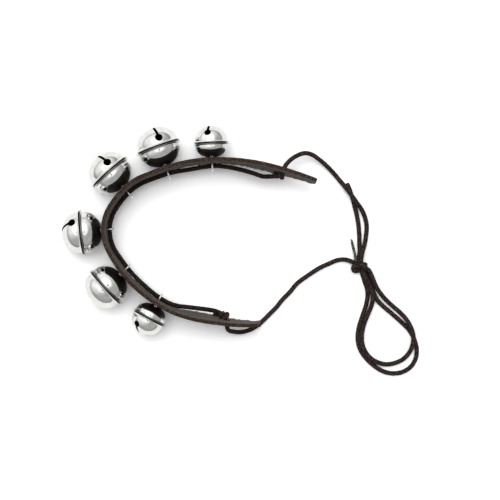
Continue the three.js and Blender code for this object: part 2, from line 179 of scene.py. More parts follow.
# Lacing: how far it stands off at stations along the strap, from where it rests beside the strap
LACING_STATIONS = np.array((
    -112.3, -108.4, -103, -90, -80, -72, -56, -42, -28, 28, 36, 56, 72, 80, 90, 100, 106, 109, 112.5,
)) * 0.001
LACING_BOWS = np.array((
    0.4, 2, 3.3, 2, 0.9, 0.4, 1.2, 0.2, 0, 0, 0.5, 0.9, 0.25, 0.35, 1.8, 2.5, 2.75, 2.2, 0.8,
)) * 0.001

# Routes of the free cord, past the cord holes
UPPER_TIE = (
    (0.0242, 0.0542, 0.0128), (0.0277, 0.0568, 0.0112), (0.0312, 0.0584, 0.0096),
    (0.0341, 0.0589, 0.0082), (0.0375, 0.0582, 0.0066), (0.0419, 0.0555, 0.0046),
    (0.0458, 0.0524, 0.0030), (0.0505, 0.0477, 0.0019), (0.0550, 0.0424, 0.0022),
    (0.0586, 0.0379, 0.0036), (0.0613, 0.0343, 0.0046), (0.0647, 0.0296, 0.0040),
    (0.0682, 0.0248, 0.0024), (0.0704, 0.0199, 0.0015), (0.0714, 0.0147, 0.0014),
    (0.0710, 0.0086, 0.0016), (0.0702, 0.0040, 0.0024), (0.0690, 0.0000, 0.0036),
    (0.0681, -0.0039, 0.0044), (0.0676, -0.0076, 0.0047),
)
LOWER_TIE = (
    (-0.0126, -0.0488, 0.0120), (-0.0100, -0.0496, 0.0094), (-0.0063, -0.0501, 0.0062),
    (-0.0026, -0.0496, 0.0036), (0.0010, -0.0483, 0.0020), (0.0043, -0.0464, 0.0014),
    (0.0073, -0.0438, 0.0014), (0.0118, -0.0394, 0.0014), (0.0161, -0.0350, 0.0014),
    (0.0200, -0.0302, 0.0014), (0.0244, -0.0257, 0.0014), (0.0286, -0.0207, 0.0014),
    (0.0348, -0.0160, 0.0014), (0.0431, -0.0107, 0.0014), (0.0490, -0.0080, 0.0014),
    (0.0532, -0.0063, 0.0014), (0.0575, -0.0058, 0.0016), (0.0604, -0.0064, 0.0020),
    (0.0628, -0.0074, 0.0023),
)
LONG_TAIL = (
    (0.0664, -0.0066, 0.0015), (0.0671, -0.0012, 0.0014), (0.0670, 0.0031, 0.0014),
    (0.0667, 0.0122, 0.0014), (0.0656, 0.0202, 0.0014), (0.0640, 0.0269, 0.0014),
    (0.0626, 0.0321, 0.0014), (0.0611, 0.0367, 0.0014), (0.0595, 0.0404, 0.0014),
)
SHORT_TAIL = (
    (0.0648, -0.0065, 0.0039), (0.0640, -0.0021, 0.0030), (0.0632, 0.0013, 0.0022),
    (0.0624, 0.0052, 0.0014),
)
OUTER_LOOP = (
    (0.0686, -0.0141, 0.0014), (0.0703, -0.0196, 0.0014), (0.0716, -0.0236, 0.0014),
    (0.0720, -0.0274, 0.0014), (0.0711, -0.0334, 0.0014), (0.0689, -0.0401, 0.0014),
    (0.0670, -0.0461, 0.0014), (0.0660, -0.0515, 0.0014), (0.0662, -0.0567, 0.0014),
    (0.0681, -0.0621, 0.0014), (0.0717, -0.0669, 0.0014), (0.0771, -0.0717, 0.0014),
    (0.0826, -0.0746, 0.0014), (0.0879, -0.0755, 0.0014), (0.0933, -0.0746, 0.0014),
    (0.0984, -0.0714, 0.0014), (0.1015, -0.0660, 0.0014), (0.1020, -0.0608, 0.0014),
    (0.1007, -0.0551, 0.0014), (0.0976, -0.0492, 0.0014), (0.0924, -0.0439, 0.0014),
    (0.0867, -0.0388, 0.0014), (0.0813, -0.0342, 0.0014), (0.0779, -0.0306, 0.0014),
    (0.0757, -0.0262, 0.0014), (0.0744, -0.0218, 0.0014), (0.0718, -0.0132, 0.0014),
)
INNER_LOOP = (
    (0.0696, -0.0140, 0.0045), (0.0722, -0.0198, 0.0046), (0.0739, -0.0238, 0.0046),
    (0.0749, -0.0281, 0.0044), (0.0745, -0.0330, 0.0034), (0.0725, -0.0384, 0.0024),
    (0.0702, -0.0439, 0.0026), (0.0686, -0.0497, 0.0036), (0.0683, -0.0555, 0.0042),
    (0.0698, -0.0610, 0.0044), (0.0733, -0.0657, 0.0042), (0.0779, -0.0686, 0.0026),
    (0.0829, -0.0699, 0.0015), (0.0881, -0.0693, 0.0014), (0.0933, -0.0670, 0.0014),
    (0.0972, -0.0630, 0.0020), (0.0992, -0.0583, 0.0036), (0.0998, -0.0534, 0.0046),
    (0.0984, -0.0476, 0.0046), (0.0954, -0.0422, 0.0034), (0.0916, -0.0380, 0.0018),
    (0.0866, -0.0337, 0.0016), (0.0819, -0.0291, 0.0026), (0.0782, -0.0244, 0.0040),
    (0.0759, -0.0198, 0.0045), (0.0723, -0.0121, 0.0045),
)
BOW_WRAPS = (
    (0.0628, -0.0074, 0.0023), (0.0644, -0.0081, 0.0022), (0.0670, -0.0089, 0.0016),
    (0.0695, -0.0090, 0.0019), (0.0703, -0.0090, 0.0032), (0.0690, -0.0093, 0.0042),
    (0.0666, -0.0096, 0.0043), (0.0643, -0.0097, 0.0042), (0.0631, -0.0111, 0.0036),
    (0.0639, -0.0126, 0.0029), (0.0660, -0.0125, 0.0022), (0.0686, -0.0124, 0.0016),
    (0.0709, -0.0120, 0.0025), (0.0710, -0.0114, 0.0044), (0.0694, -0.0104, 0.0058),
    (0.0672, -0.0089, 0.0059), (0.0656, -0.0079, 0.0050), (0.0654, -0.0076, 0.0030),
)
LOWER_STUB = ((-0.0160, -0.0398, 0.0134), (-0.0190, -0.0395, 0.0130), (-0.0221, -0.0391, 0.0134))
BOW_HEART = (0.0676, -0.0104, 0.0030)
BOW_TUCK = 0.5

# Table and light
TABLE_HALF_WIDTH = 2.0
TABLE_HEIGHT = -0.0002
LAMP_DIRECTION = (-0.06, 0.28, 0.958)
LAMP_EDGE = 0.77  # cosine of the angle at which its glow ends
LAMP_POWER = 4.7
LAMP_IN_METAL = 0.3  # share of it that metal shows
CARD_DIRECTION = (-0.5, 0.6, 0.625)
LENS_EDGE = (0.9940, 0.9970)  # upward share of a direction, from lit to dark

scene = bpy.context.scene


# Shader nodes
def new_material(name):
    material = bpy.data.materials.new(name)
    material.use_nodes = True
    return material, material.node_tree


def add_node(tree, kind, inputs=None, **settings):
    node = tree.nodes.new("ShaderNode" + kind)
    for key, value in settings.items():
        setattr(node, key, value)
    set_inputs(tree, node, inputs or {})
    return node


def set_inputs(tree, node, inputs):
    for key, value in inputs.items():
        if isinstance(value, bpy.types.NodeSocket):
            tree.links.new(value, node.inputs[key])
        else:
            node.inputs[key].default_value = value


def noise(tree, scale, detail=4.0, roughness=0.55, stretch=None):
    """Noise over the object's own coordinates, scale in features per metre."""
    place = add_node(tree, "TexCoord").outputs["Object"]
    if stretch is not None:
        place = add_node(tree, "Mapping", {"Vector": place, "Scale": stretch}).outputs["Vector"]
    settings = {"Vector": place, "Scale": scale, "Detail": detail, "Roughness": roughness}
    return add_node(tree, "TexNoise", settings).outputs["Fac"]


def ramp(tree, factor, stops):
    node = add_node(tree, "ValToRGB", {"Fac": factor})
    elements = node.color_ramp.elements
    while len(elements) < len(stops):
        elements.new(0.5)
    for element, (place, colour) in zip(elements, stops):
        element.position = place
        element.color = (*colour, 1.0)
    return node.outputs["Color"]


def remap(tree, value, low, high, to_low=0.0, to_high=1.0):
    settings = {"Value": value, "From Min": low, "From Max": high, "To Min": to_low, "To Max": to_high}
    return add_node(tree, "MapRange", settings).outputs["Result"]


def mix_colour(tree, factor, a, b):
    node = add_node(tree, "Mix", data_type="RGBA")
    for key, value in (("Factor_Float", factor), ("A_Color", a), ("B_Color", b)):
        socket = next(s for s in node.inputs if s.identifier == key)
        if isinstance(value, bpy.types.NodeSocket):
            tree.links.new(value, socket)
        else:
            socket.default_value = value
    return next(s for s in node.outputs if s.identifier == "Result_Color")


def bump(tree, height, distance, strength):
    inputs = {"Height": height, "Distance": distance, "Strength": strength}
    return add_node(tree, "Bump", inputs).outputs["Normal"]


def math_node(tree, operation, a, b):
    return add_node(tree, "Math", {0: a, 1: b}, operation=operation).outputs["Value"]


def chrome_material():
    """Polished plate; dull, and near-black as painted shade, where the inner attribute is 1: inside the cups,
    on the walls of their opening and, in part, on the back flange's rim.
    """
    material, tree = new_material("bell_chrome")
    inner = add_node(tree, "Attribute", attribute_name="inner").outputs["Fac"]
    smudge = noise(tree, 380, 6, 0.62)
    polished = ramp(tree, smudge, ((0.38, (0.715, 0.71, 0.685)), (0.62, (0.825, 0.82, 0.80))))
    rub = remap(tree, noise(tree, 900, 6), 0.3, 0.7, 0.04, 0.09)
    set_inputs(tree, tree.nodes["Principled BSDF"], {
        "Metallic": 1.0,
        # Near-black where inner is 1: painted shade inside the bell.
        "Base Color": mix_colour(tree, inner, polished, (0.02, 0.02, 0.019, 1.0)),
        "Roughness": math_node(tree, "MAXIMUM", rub, math_node(tree, "MULTIPLY", inner, 0.6)),
        "Normal": bump(tree, noise(tree, 120, 2), 0.00005, 0.5),
    })
    return material


def wire_material():
    material, tree = new_material("loop_wire")
    drawn = noise(tree, 1500, 4, stretch=(1.0, 1.0, 0.2))
    set_inputs(tree, tree.nodes["Principled BSDF"], {
        "Metallic": 1.0,
        "Base Color": ramp(tree, noise(tree, 300), ((0.35, (0.88, 0.87, 0.85)), (0.65, (0.96, 0.95, 0.93)))),
        "Roughness": remap(tree, drawn, 0.3, 0.7, 0.24, 0.38),
        "Normal": bump(tree, drawn, 0.00003, 0.4),
    })
    return material


def pellet_material():
    material, tree = new_material("pellet_steel")
    pits = noise(tree, 1400, 6, 0.65)
    set_inputs(tree, tree.nodes["Principled BSDF"], {
        "Metallic": 1.0,
        "Base Color": ramp(tree, pits, ((0.3, (0.22, 0.21, 0.20)), (0.7, (0.50, 0.49, 0.47)))),
        "Roughness": remap(tree, pits, 0.3, 0.7, 0.5, 0.3),
        "Normal": bump(tree, pits, 0.0001, 0.6),
    })
    return material


def leather_material():
    """Grain side, flesh side and cut edges, told apart by the depth attribute: 1 outside, -1 inside."""
    material, tree = new_material("leather")
    depth = add_node(tree, "Attribute", attribute_name="depth").outputs["Fac"]
    edge = remap(tree, math_node(tree, "ABSOLUTE", depth, 0.0), 0.97, 0.78)
    inner = remap(tree, depth, -0.2, -0.6)
    pores = add_node(tree, "TexVoronoi", {
        "Vector": add_node(tree, "TexCoord").outputs["Object"], "Scale": 1400.0, "Randomness": 1.0,
    }).outputs["Distance"]
    mottle = noise(tree, 420, 5, 0.6)
    fibre = noise(tree, 2200, 6, 0.7)
    strands = noise(tree, 1300, 5, 0.65, stretch=(1.0, 1.0, 0.35))
    grain_colour = ramp(tree, mottle, ((0.36, (0.0040, 0.0034, 0.0032)), (0.64, (0.0155, 0.0122, 0.0108))))
    flesh_colour = ramp(tree, fibre, ((0.40, (0.048, 0.041, 0.037)), (0.60, (0.190, 0.170, 0.157))))
    cut_colour = ramp(tree, strands, (
        (0.38, (0.009, 0.0055, 0.0041)), (0.5, (0.030, 0.0190, 0.0138)), (0.62, (0.102, 0.070, 0.054)),
    ))
    fuzz_colour = ramp(tree, strands, (
        (0.38, (0.017, 0.0122, 0.0098)), (0.5, (0.050, 0.036, 0.0295)), (0.62, (0.14, 0.108, 0.091)),
    ))
    edge_colour = mix_colour(tree, remap(tree, depth, -0.6, -0.9), cut_colour, fuzz_colour)
    face_colour = mix_colour(tree, inner, grain_colour, flesh_colour)
    face_height = mix_colour(tree, inner, pores, fibre)
    height = mix_colour(tree, edge, face_height, strands)
    set_inputs(tree, tree.nodes["Principled BSDF"], {
        "Base Color": mix_colour(tree, edge, face_colour, edge_colour),
        "Roughness": remap(tree, math_node(tree, "MAXIMUM", inner, edge), 0.0, 1.0, 0.42, 0.92),
        "Normal": bump(tree, height, 0.0003, 0.7),
        "Specular IOR Level": 0.12,
    })
    return material


def cord_material(name, valley_shade, dark, pale_and_glint):
    """Waxed braid, with painted shade in its valleys and a pale speckle on its crowns that is partly the
    cord's own mottle and partly a painted glint.
    """
    material, tree = new_material(name)
    relief = add_node(tree, "Attribute", attribute_name="relief").outputs["Fac"]
    fibre = noise(tree, 3500, 5, 0.7)
    # Crowns: the cord's own mottle, with its pale speckle partly a painted glint off the fibres.
    crown = ramp(tree, noise(tree, 800, 3, 0.6), ((0.42, dark), (0.60, pale_and_glint)))
    set_inputs(tree, tree.nodes["Principled BSDF"], {
        # Painted shade in the valleys of the braid.
        "Base Color": mix_colour(tree, remap(tree, relief, 0.6, 0.95), (*valley_shade, 1.0), crown),
        "Roughness": remap(tree, fibre, 0.3, 0.7, 0.5, 0.72),
        "Normal": bump(tree, fibre, 0.0001, 0.5),
        "Specular IOR Level": 0.06,
    })
    return material


# Meshes
def plain_mesh(name, vertices, faces):
    mesh = bpy.data.meshes.new(name)
    mesh.from_pydata(np.asarray(vertices).tolist(), [], [list(map(int, face)) for face in faces])
    return mesh


def new_piece(name, vertices, faces, material, body, replaces=()):
    """A smooth piece that rides a body and stands for the CAD nodes that it replaces."""
    mesh = plain_mesh(name, vertices, faces)
    mesh.shade_smooth()
    mesh.materials.append(material)
    piece = bpy.data.objects.new(name, mesh)
    scene.collection.objects.link(piece)
    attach(piece, body)
    if replaces:
        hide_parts(*replaces)
    return piece


def set_attribute(mesh, name, values):
    attribute = mesh.attributes.new(name, "FLOAT", "POINT")
    attribute.data.foreach_set("value", np.asarray(values, np.float32).ravel())


def ring_faces(rows, sides, start=0):
    """Quads of a tube whose rings of points follow each other."""
    row, side = np.meshgrid(np.arange(rows - 1), np.arange(sides), indexing="ij")
    a = start + row * sides + side
    b = start + row * sides + (side + 1) % sides
    return np.stack([a, b, b + sides, a + sides], axis=-1).reshape(-1, 4)


def inward_ring_tube(rows, sides):
    """Quads and end faces of a closed tube whose rings run clockwise, seen from its far end."""
    end = np.arange(sides)
    return [*ring_faces(rows, sides)[:, ::-1], end, end[::-1] + (rows - 1) * sides]


def turns(count):
    """Even angles round a full turn."""
    return np.arange(count) / count * 2 * math.pi


def merged(shapes):
    """One list of vertices and of faces from several shapes."""
    vertices, faces, start = [], [], 0
    for points, sides in shapes:
        vertices.append(points)
        faces += [side + start for side in sides]
        start += len(points)
    return np.vstack(vertices), faces


def unit(vectors):
    return vectors / np.linalg.norm(vectors, axis=-1, keepdims=True)


def smooth_route(points, step):
    """Evenly spaced points on the centripetal Catmull-Rom curve through the points."""
    p = np.asarray(points, float)
    p = np.vstack([2 * p[0] - p[1], p, 2 * p[-1] - p[-2]])
    t = np.linspace(0, 1, CURVE_STEPS, endpoint=False)[:, None]
    spans = []
    for a, b, c, d in zip(p, p[1:], p[2:], p[3:]):
        ab, bc, cd = (math.sqrt(np.linalg.norm(v)) for v in (b - a, c - b, d - c))
        leave = ((b - a) / ab - (c - a) / (ab + bc) + (c - b) / bc) * bc
        arrive = ((c - b) / bc - (d - b) / (bc + cd) + (d - c) / cd) * bc
        square = 3 * (c - b) - 2 * leave - arrive
        cube = 2 * (b - c) + leave + arrive
        spans.append(b + leave * t + square * t**2 + cube * t**3)
    dense = np.vstack([*spans, p[-2]])
    along = np.concatenate([[0], np.cumsum(np.linalg.norm(np.diff(dense, axis=0), axis=1))])
    even = np.linspace(0, along[-1], max(2, round(along[-1] / step)) + 1)
    return np.stack([np.interp(even, along, dense[:, k]) for k in range(3)], axis=1)


def route_length(path):
    return float(np.linalg.norm(np.diff(path, axis=0), axis=1).sum())


def carried_frames(path):
    """Tangents, and two directions across the path that turn with it as little as they can."""
    tangents = unit(np.gradient(path, axis=0))
    across = np.cross(tangents[0], (0.0, 0.0, 1.0))
    if np.linalg.norm(across) < 0.1:
        across = np.cross(tangents[0], (1.0, 0.0, 0.0))
    normals = []
    for tangent in tangents:
        across = unit(across - tangent * np.dot(across, tangent))
        normals.append(across)
    normals = np.array(normals)
    return tangents, normals, np.cross(tangents, normals)


def tube(path, radii, sides):
    """Rings of points round a path, with domed ends, the tube's faces, and each ring's place on the path."""
    tangents, normals, binormals = carried_frames(path)
    radii = np.broadcast_to(radii, (len(path), sides))
    start = [path[0] - tangents[0] * radii[0].mean() * END_REACH * math.sin(a) for a in END_ANGLES]
    end = [path[-1] + tangents[-1] * radii[-1].mean() * END_REACH * math.sin(a) for a in END_ANGLES[::-1]]
    centres = np.vstack([start, path, end])
    index = np.clip(np.arange(len(centres)) - len(END_ANGLES), 0, len(path) - 1)
    shrink = np.concatenate([np.cos(END_ANGLES), np.ones(len(path)), np.cos(END_ANGLES[::-1])])
    turn = turns(sides)[None, :, None]
    across = np.cos(turn) * normals[index][:, None] + np.sin(turn) * binormals[index][:, None]
    rings = centres[:, None] + across * (radii[index] * shrink[:, None])[..., None]
    count = len(centres)
    faces = [*ring_faces(count, sides), np.arange(sides)[::-1], (count - 1) * sides + np.arange(sides)]
    return rings.reshape(-1, 3), faces, index


def braid_relief(turn, along):
    """Height, 0 to 1, of an over-and-under braid at a share of a turn and a length along the cord."""
    right = BRAID_STRANDS * (turn + along / BRAID_LEAD)
    left = BRAID_STRANDS * (turn - along / BRAID_LEAD)
    heights = []
    for own, other, phase in ((right, left, 0.0), (left, right, 1.0)):
        crown = np.sqrt(np.clip(1 - (1.9 * (own - np.floor(own) - 0.5)) ** 2, 0, 1))
        weave = np.cos(math.pi * (other - 0.5 + np.floor(own) + phase))
        heights.append(0.62 * crown + 0.38 * (weave + 1) / 2)
    return np.maximum(*heights)


def twist_relief(turn, along):
    """Height, 0 to 1, of two plies laid round each other."""
    return np.sqrt(np.abs(np.cos(2 * math.pi * (turn + along / PLY_LEAD))))


def relief_cord(name, path, diameter, relief_of, depth, material, replaces=()):
    """A cord along a path whose radius follows a relief of its turn and length."""
    along = np.arange(len(path)) * route_length(path) / (len(path) - 1)
    turn = np.arange(CORD_SIDES) / CORD_SIDES
    relief = relief_of(turn[None, :], along[:, None])
    vertices, faces, index = tube(path, diameter / 2 * (1 - depth * (1 - relief)), CORD_SIDES)
    piece = new_piece(name, vertices, faces, material, "strap", replaces)
    set_attribute(piece.data, "relief", relief[index])
    return piece


def braided_cord(name, points, replaces=(), diameter=CORD_DIAMETER, material_key="cord"):
    """A cord of round braid along a route, and the path down its middle."""
    path = smooth_route(points, CORD_STEP)
    shown = diameter * BRAID_BULGE
    return relief_cord(name, path, shown, braid_relief, BRAID_DEPTH, materials[material_key], replaces), path


def frayed_end(name, path):
    """Loose fibres that fan out from the end of a cord."""
    rng = np.random.default_rng(FRAY_SEED)
    tangent, normal, binormal = (directions[-1] for directions in carried_frames(path))
    tip = path[-1] - tangent * FRAY_LENGTH * FRAY_OVERLAP
    t = np.linspace(0, 1, FIBRE_POINTS)[:, None]
    fibres = []
    for _ in range(FRAY_FIBRES):
        away = normal * rng.normal(0, FRAY_SPREAD) + binormal * rng.normal(0, FRAY_SPREAD)
        reach = FRAY_LENGTH * rng.uniform(0.7, 1.2)
        bend = away * rng.uniform(0.3, 0.9)
        fibre = tip + (tangent * t + away * t + bend * t * t) * reach
        fibres.append(tube(fibre, FIBRE_RADIUS, FIBRE_SIDES)[:2])
    vertices, faces = merged(fibres)
    piece = new_piece(name, vertices, faces, materials["core"], "strap")
    set_attribute(piece.data, "relief", np.ones(len(vertices)))
    return piece


# The strap's bend
def bend_table():
    """Stations along the strap and the plan places of its middle there."""
    stations = np.linspace(-STRAP_LENGTH / 2, STRAP_LENGTH / 2, BEND_SAMPLES)
    middle = (stations[1:] + stations[:-1]) / 2
    headings = np.radians(np.interp(middle, BEND_STATIONS, BEND_HEADINGS))
    steps = np.diff(stations)[:, None] * np.stack([-np.sin(headings), np.cos(headings)], axis=1)
    plan = np.vstack([[0, 0], np.cumsum(steps, axis=0)])
    return stations, plan - plan[len(plan) // 2] + STRAP_MIDDLE


BEND_TABLE = bend_table()


def strap_frames(stations):
    """Centre, outward and upward directions, half width and half thickness at stations along the strap."""
    stations = np.atleast_1d(np.asarray(stations, float))
    to_tip = STRAP_LENGTH / 2 - np.abs(stations)
    taper = np.clip(to_tip / TAPER_LENGTH, 0, 1)
    half_width = (TIP_WIDTH + (STRAP_WIDTH - TIP_WIDTH) * taper) / 2
    half_thickness = (TIP_THICKNESS + (STRAP_THICKNESS - TIP_THICKNESS) * taper) / 2
    lean = np.zeros(len(stations))
    for end, side in ((UPPER_LEAN, stations < 0), (LOWER_LEAN, stations >= 0)):
        t = np.clip((end["from"] - to_tip) / (end["from"] - end["full"]), 0, 1)
        lean = np.where(side, math.radians(end["degrees"]) * t * t * (3 - 2 * t), lean)
    heading = np.radians(np.interp(stations, BEND_STATIONS, BEND_HEADINGS))
    level = np.stack([np.cos(heading), np.sin(heading), np.zeros(len(stations))], axis=1)
    upright = np.array((0.0, 0.0, 1.0))
    out = level * np.cos(lean)[:, None] - upright * np.sin(lean)[:, None]
    up = level * np.sin(lean)[:, None] + upright * np.cos(lean)[:, None]
    plan = np.stack([np.interp(stations, BEND_TABLE[0], BEND_TABLE[1][:, k]) for k in (0, 1)], axis=1)
    height = np.maximum(MID_HEIGHT, half_width * np.cos(lean) + half_thickness * np.sin(lean))
    centre = np.column_stack([plan, height]) - level * (half_width * np.sin(lean))[:, None] + UNDER_CAMERA
    return centre, out, up, half_width, half_thickness


def strap_point(station, out):
    centre, outward, _, _, _ = strap_frames(station)
    return centre[0] + outward[0] * out


# Camera
def make_camera():
    data = bpy.data.cameras.new("camera")
    data.sensor_width = SENSOR_WIDTH_MM
    data.lens = SENSOR_WIDTH_MM * CAMERA_HEIGHT / VIEW_WIDTH
    data.clip_end = 20.0
    camera = bpy.data.objects.new("camera", data)
    camera.location = UNDER_CAMERA + np.array((0.0, 0.0, CAMERA_HEIGHT))
    scene.collection.objects.link(camera)
    scene.camera = camera


# Cords
def laid(points):
    """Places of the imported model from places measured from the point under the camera."""
    return np.array(points) + UNDER_CAMERA


def tucked(points, ends):
    """A route whose named ends run on into the heart of the bow knot."""
    route = list(laid(points))
    heart = laid(BOW_HEART)
    if "first" in ends:
        route.insert(0, route[0] + (heart - route[0]) * BOW_TUCK)
    if "last" in ends:
        route.append(route[-1] + (heart - route[-1]) * BOW_TUCK)
    return np.array(route)


def knot_offset(knot):
    """How far inward of the strap's middle a stopper knot's middle lies."""
    return strap_frames(knot["station"])[4][0] + SEAT_GAP + knot["depth"] / 2


def lacing_route():
    """From knot to knot: beside the strap in the middle, bowed away from it near its ends."""
    stations = np.linspace(UPPER_KNOT["station"], LOWER_KNOT["station"], LACING_POINTS)
    bows = np.interp(stations, LACING_STATIONS, LACING_BOWS)
    return np.array([strap_point(s, -LACING_OFFSET - bow) for s, bow in zip(stations, bows)])


def tie_route(station, points):
    """From the inner face out through a cord hole and along the points to the bow."""
    half_thickness = strap_frames(station)[4][0]
    hole = [strap_point(station, out) for out in (-half_thickness, half_thickness + HOLE_EXIT)]
    return np.vstack([hole, tucked(points, ("last",))])


def stopper_knot(name, knot, node):
    """A tight overhand knot against the inner face of the strap."""
    centre, out, up, _, _ = (value[0] for value in strap_frames(knot["station"]))
    along = np.cross(up, out) * math.copysign(1, knot["station"])
    middle = centre - out * knot_offset(knot)
    reach = (np.array((knot["length"], knot["depth"], knot["height"])) - STOPPER_STRAND) / 2
    t = np.linspace(STOPPER_OPENING, 2 * math.pi - STOPPER_OPENING, STOPPER_POINTS)
    shape = np.stack([np.sin(t) + 2 * np.sin(2 * t), np.sin(3 * t), np.cos(t) - 2 * np.cos(2 * t)], axis=1)
    shape /= np.abs(shape).max(axis=0)
    places = shape * reach
    points = middle + places[:, :1] * along - places[:, 1:2] * out + places[:, 2:] * up
    return braided_cord(name, points, (node,), STOPPER_STRAND)[0]


def make_cords():
    """The lacing, the knots and the free cords."""
    bow, _ = braided_cord("bow_knot_wraps", laid(BOW_WRAPS), ("bow_knot",), BOW_STRAND)
    tail_path = smooth_route(tucked(SHORT_TAIL, ("first",)), CORD_STEP)
    short_tail = relief_cord(
        "bow_tail_short_strand", tail_path, SHORT_TAIL_DIAMETER, twist_relief, PLY_DEPTH, materials["core"],
        ("bow_tail_short",),
    )
    fray = frayed_end("bow_tail_short_fray", tail_path)
    upper_knot = stopper_knot("upper_knot_tied", UPPER_KNOT, "upper_stopper_knot")
    lower_knot = stopper_knot("lower_knot_tied", LOWER_KNOT, "lower_stopper_knot")
    stub, _ = braided_cord("lower_knot_stub", laid(LOWER_STUB), diameter=STUB_DIAMETER)
    # The lacing takes a darker copy of the cord: painted shade where it lies beside the strap.
    braided_cord("lacing_braid", lacing_route(), ("lacing_cord",), material_key="shaded_lacing")
    heart = laid(BOW_HEART)
    upper_route = tie_route(UPPER_HOLE_STATION, UPPER_TIE)
    lower_route = tie_route(LOWER_HOLE_STATION, LOWER_TIE)
    outer_route = tucked(OUTER_LOOP, ("first", "last"))
    inner_route = tucked(INNER_LOOP, ("first", "last"))
    tail_route = tucked(LONG_TAIL, ("first",))
    free = (
        ("upper_tie_braid", "upper_tie_cord", upper_route, None, "knot", (upper_knot,)),
        ("lower_tie_braid", "lower_tie_cord", lower_route, None, "knot", (lower_knot, stub, bow)),
        ("bow_loop_outer_braid", "bow_loop_outer", outer_route, heart, "knot", ()),
        ("bow_loop_inner_braid", "bow_loop_inner", inner_route, heart, "knot", ()),
        ("bow_tail_long_braid", "bow_tail_long", tail_route, heart, "bare", (short_tail, fray)),
    )
    for name, node, route, exit_point, far_end, with_pieces in free:
        piece, path = braided_cord(name, route, (node,))


# Strap
def strap_outline(half_thickness, half_width, radius):
    """Rounded section of the strap, as outward and upward places."""
    face = np.linspace(-1, 1, FACE_POINTS)[1:-1]
    corner = np.radians(np.linspace(0, 90, CORNER_POINTS))
    flat, tall = half_thickness - radius, half_width - radius
    bend = radius * np.stack([np.cos(corner), np.sin(corner)], axis=1)
    return np.vstack([
        np.column_stack([np.full(len(face), half_thickness), face * tall]),
        (flat, tall) + bend,
        (-flat, tall) + bend[::-1] * (-1, 1),
        np.column_stack([np.full(len(face), -half_thickness), -face * tall]),
        (-flat, -tall) - bend,
        (flat, -tall) + bend[::-1] * (1, -1),
    ])


def strap_mesh():
    """Vertices and faces of the unpunched strap, rounded at its ends and ragged low on its inside."""
    reach = EDGE_RADIUS * np.sin(END_ANGLES)
    ends = EDGE_RADIUS - EDGE_RADIUS * np.cos(END_ANGLES)
    count = round(STRAP_LENGTH / STRAP_STEP)
    body = np.linspace(-STRAP_LENGTH / 2 + EDGE_RADIUS, STRAP_LENGTH / 2 - EDGE_RADIUS, count)
    stations = np.concatenate([body[0] - reach, body, body[-1] + reach[::-1]])
    shrink = np.concatenate([ends, np.zeros(count), ends[::-1]])
    centre, out, up, half_width, half_thickness = strap_frames(stations)
    tufts = np.arange(stations[0], stations[-1] + FRINGE_STEP, FRINGE_STEP)
    rng = np.random.default_rng(FRINGE_SEED)
    fringe = np.interp(stations, tufts, rng.uniform(0, FRINGE, len(tufts)))
    fringe *= rng.uniform(FRINGE_LEAST, 1.0, len(stations))
    rings = []
    for i, inset in enumerate(shrink):
        half = half_thickness[i] - inset
        outline = strap_outline(half, half_width[i] - inset, min(EDGE_RADIUS, half) * EDGE_SHARE)
        low_inside = (outline[:, 0] < 0) & (outline[:, 1] < EDGE_RADIUS - half_width[i])
        outline[low_inside, 0] -= fringe[i]
        rings.append(centre[i] + outline[:, :1] * out[i] + outline[:, 1:] * up[i])
    return np.vstack(rings), inward_ring_tube(len(rings), len(rings[0]))


def punch(station, yaw, half_width, half_height):
    """Vertices and faces of an upright oval prism through the strap at a station."""
    side, axis, up, origin = bell_frame(station, yaw)
    turn = turns(HOLE_SIDES)
    oval = half_width * np.cos(turn)[:, None] * side + half_height * np.sin(turn)[:, None] * up
    rings = np.vstack([origin + oval - axis * PUNCH_REACH, origin + oval + axis * PUNCH_REACH])
    return rings, inward_ring_tube(2, HOLE_SIDES)


def bell_frame(station, yaw):
    """Side, axis and upward directions of a bell, and its place inside the strap."""
    centre, out, up, _, _ = (value[0] for value in strap_frames(station))
    turn = math.radians(yaw)
    axis = out * math.cos(turn) + np.cross(up, out) * math.sin(turn)
    return np.cross(axis, up), axis, up, centre


def make_strap():
    """The strap, with its slots for the loops and its cord holes punched through."""
    vertices, faces = strap_mesh()
    strap = new_piece("strap_leather", vertices, faces, materials["leather"], "strap", ("strap",))
    punches = [(s, b["yaw"], SLOT_HALF_WIDTH, SLOT_HALF_HEIGHT) for s, b in zip(BELL_STATIONS, BELLS)]
    holes = (UPPER_HOLE_STATION, LOWER_HOLE_STATION)
    punches += [(station, 0, CORD_HOLE_RADIUS, CORD_HOLE_RADIUS) for station in holes]
    cutter = bpy.data.objects.new("punches", plain_mesh("punches", *merged(punch(*p) for p in punches)))
    scene.collection.objects.link(cutter)
    cut = strap.modifiers.new("punched", "BOOLEAN")
    cut.object = cutter
    cut.solver = "EXACT"
    shown = strap.evaluated_get(bpy.context.evaluated_depsgraph_get())
    strap.data = bpy.data.meshes.new_from_object(shown)
    strap.modifiers.clear()
    bpy.data.objects.remove(cutter)
    strap.data.shade_smooth()
    strap.data.set_sharp_from_angle(angle=math.radians(SHARP_DEGREES))
    set_attribute(strap.data, "depth", strap_depths(strap.data))


def strap_depths(mesh):
    """How far out each vertex lies through the strap, from -1 inside to 1 outside."""
    points = np.zeros(len(mesh.vertices) * 3)
    mesh.vertices.foreach_get("co", points)
    points = points.reshape(-1, 3)
    stations = np.linspace(-STRAP_LENGTH / 2, STRAP_LENGTH / 2, DEPTH_SAMPLES)
    centre, out, _, _, half_thickness = strap_frames(stations)
    nearest = np.array([np.argmin(((centre[:, :2] - p[:2]) ** 2).sum(axis=1)) for p in points])
    return ((points - centre[nearest]) * out[nearest]).sum(axis=1) / half_thickness[nearest]


